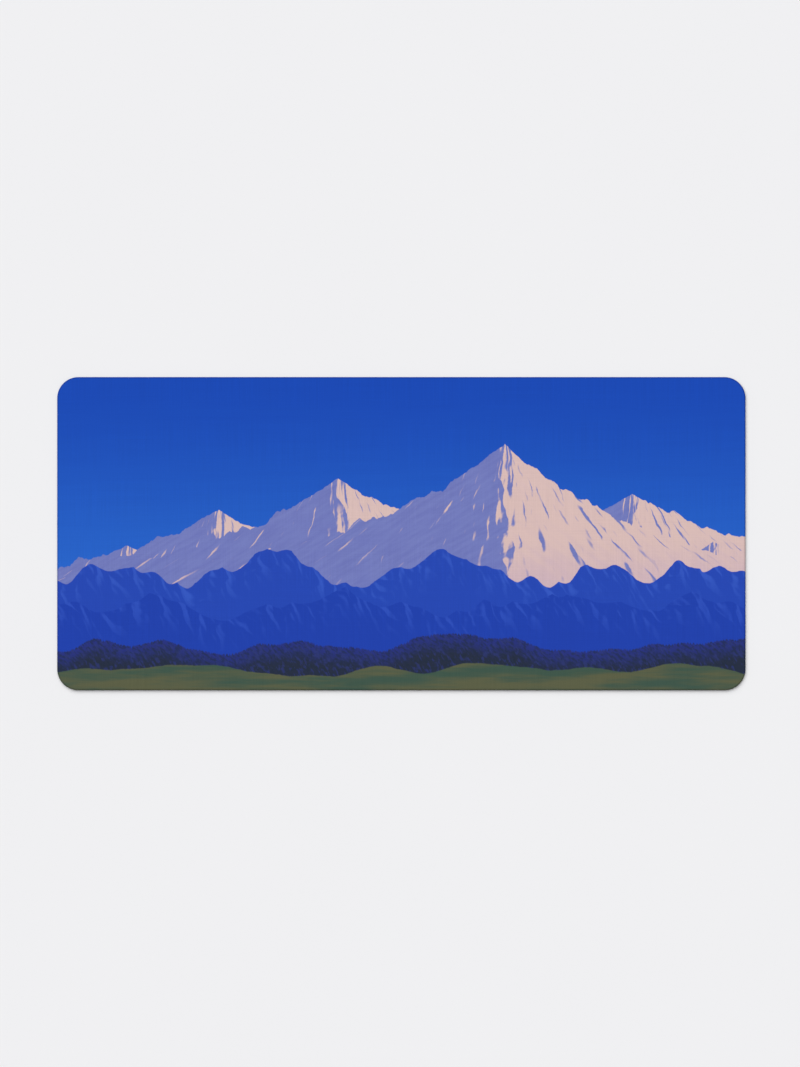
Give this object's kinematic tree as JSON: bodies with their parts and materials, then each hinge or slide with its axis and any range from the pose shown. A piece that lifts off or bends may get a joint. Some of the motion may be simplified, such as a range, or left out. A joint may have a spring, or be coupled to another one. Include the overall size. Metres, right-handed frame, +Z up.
{
  "type": "desk mat",
  "caption": "Large rounded-rectangle desk mat: printed cloth bonded over rubber foam with a grip sole, used under a keyboard and mouse.",
  "frame": {"origin": "on the desk, under the middle of the mat", "axes": "+X along the long side, to the right of the person at the desk; +Y away from that person, towards the top of the picture; +Z up, out of the printed face"},
  "size_m": [0.8, 0.364, 0.004],
  "materials": {
    "printed_cloth": "matte",
    "bond_film": "matte",
    "foam_core": "matte",
    "grip_sole": "matte"
  },
  "bodies": {
    "root": {"printed_cloth": "printed_cloth", "bond_film": "bond_film", "foam_core": "foam_core", "grip_sole": "grip_sole"}
  },
  "joints": []
}
